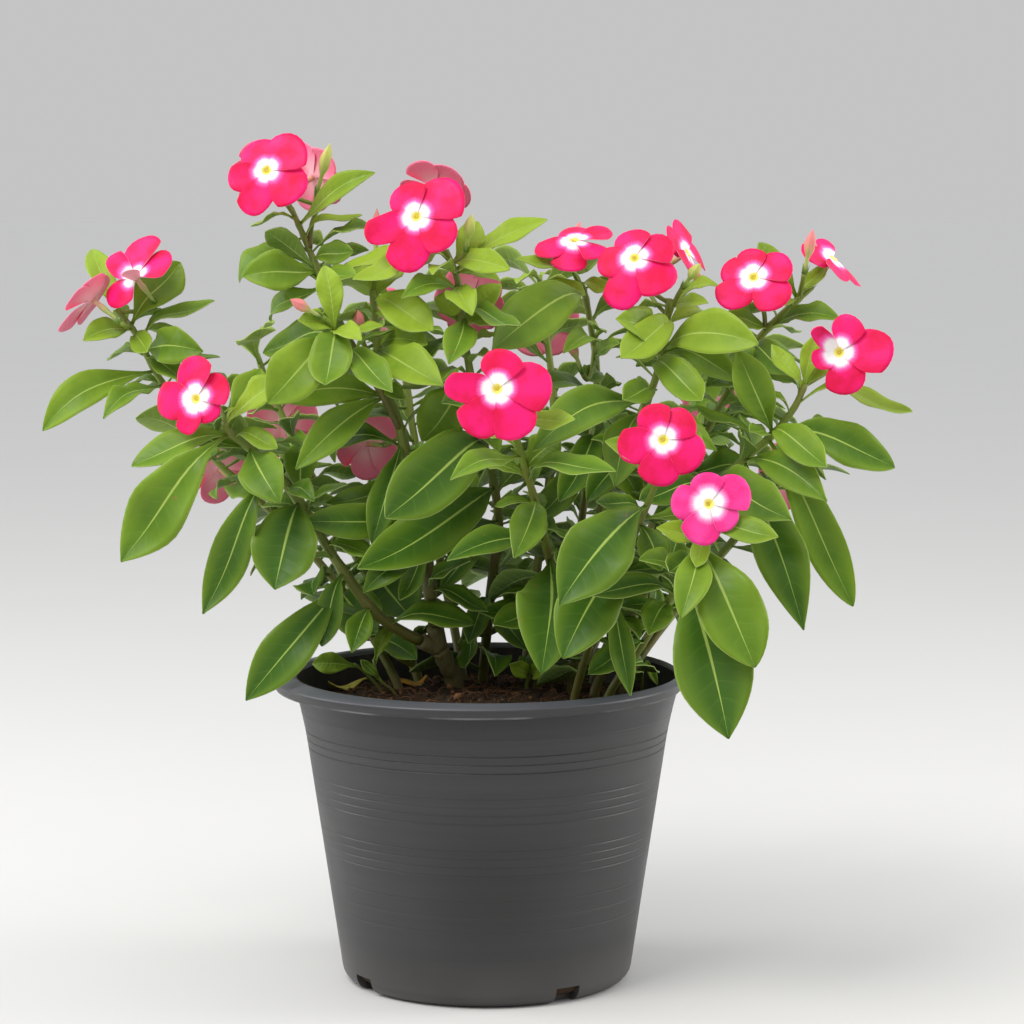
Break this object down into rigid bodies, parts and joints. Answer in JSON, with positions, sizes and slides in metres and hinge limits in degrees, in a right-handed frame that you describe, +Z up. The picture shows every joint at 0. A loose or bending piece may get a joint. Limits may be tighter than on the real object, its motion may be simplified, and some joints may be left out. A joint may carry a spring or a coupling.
{
  "type": "potted flowering plant",
  "caption": "Bushy Madagascar periwinkle in a round black nursery pot: leafy stems stand in soil and carry flat pink blooms and slim closed buds.",
  "frame": {"origin": "centre of the pot's flat underside, on the surface that the pot stands on", "axes": "+Z up along the pot's axis, -Y towards the viewer of the plant's front, +X to that viewer's right"},
  "size_m": [0.425, 0.298, 0.4239],
  "materials": {
    "pot_plastic": "satin",
    "potting_soil": "matte",
    "woody_stem": "matte",
    "leaf_green": "satin",
    "petal_pink": "matte",
    "petal_magenta": "matte",
    "bud_pink": "matte",
    "bud_green": "satin",
    "dry_leaf": "satin"
  },
  "bodies": {
    "root": {"pot": "pot_plastic", "soil": "potting_soil", "woody_base": "woody_stem", "stem_left": "leaf_green", "stem_tall": "leaf_green", "stem_centre": "leaf_green", "stem_front": "leaf_green", "stem_middle_right": "leaf_green", "stem_right_centre": "leaf_green", "stem_far_right": "leaf_green", "stem_right": "leaf_green", "stem_front_right": "leaf_green", "stem_low_right": "leaf_green", "stem_back_left": "leaf_green", "stem_back_middle": "leaf_green", "stem_back_tall": "leaf_green", "stem_back_right": "leaf_green", "stem_side_left": "leaf_green", "stem_side_right": "leaf_green", "weed_left": "leaf_green", "weed_tall": "leaf_green", "sprout": "leaf_green", "grass": "leaf_green", "fallen_olive_leaf": "dry_leaf", "fallen_orange_leaf": "dry_leaf", "bloom_top_left": "petal_pink", "bloom_top_fork": "petal_pink", "bloom_top": "petal_pink", "bloom_far_left": "petal_pink", "bloom_far_left_low": "petal_pink", "bloom_left": "petal_pink", "bloom_front": "petal_pink", "bloom_middle_right": "petal_pink", "bloom_right_centre": "petal_pink", "bloom_right_back": "petal_pink", "bloom_right": "petal_pink", "bloom_far_right_top": "petal_pink", "bloom_far_right": "petal_pink", "bloom_front_right": "petal_pink", "bloom_low_right": "petal_magenta", "bloom_top_left_behind": "petal_pink", "bloom_top_behind": "petal_pink", "bloom_centre_behind": "petal_pink", "bloom_left_inner": "petal_pink", "bloom_back_left": "petal_pink", "bloom_back_middle": "petal_pink", "bloom_back_tall": "petal_pink", "bloom_back_right": "petal_pink", "bloom_side_left": "petal_pink", "bloom_side_right": "petal_pink", "bud_top_fork": "bud_green", "bud_rosette": "bud_pink", "bud_centre": "bud_green", "bud_top": "bud_pink", "bud_middle": "bud_pink", "bud_far_right": "bud_pink", "bud_right": "bud_green", "bud_faded": "bud_pink", "bud_back": "bud_pink"}
  },
  "joints": []
}
